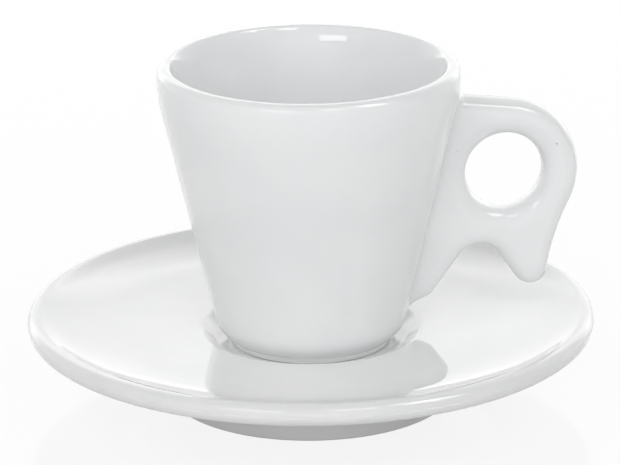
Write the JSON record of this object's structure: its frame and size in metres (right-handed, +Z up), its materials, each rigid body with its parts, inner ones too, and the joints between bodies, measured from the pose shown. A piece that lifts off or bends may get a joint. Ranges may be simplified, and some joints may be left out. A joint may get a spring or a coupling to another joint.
{
  "type": "coffee cup with saucer",
  "caption": "Thick-walled white porcelain espresso cup with a flat pierced fin handle, standing in the sunk well of a round footed saucer that it lifts off.",
  "frame": {"origin": "middle of the saucer's foot ring, on the table", "axes": "+Z up along the axis of the cup and saucer, +X from that axis towards the cup's handle"},
  "size_m": [0.12, 0.12, 0.0724],
  "materials": {
    "saucer_porcelain": "clear gloss glaze",
    "cup_porcelain": "clear gloss glaze"
  },
  "bodies": {
    "saucer": {"saucer": "saucer_porcelain"},
    "cup": {"cup_body": "cup_porcelain", "cup_handle": "cup_porcelain"}
  },
  "joints": [
    {"name": "cup_lift", "type": "slide", "parent": "saucer", "child": "cup", "axis": [0, 0, 1], "range_m": [0, 0.1]}
  ]
}
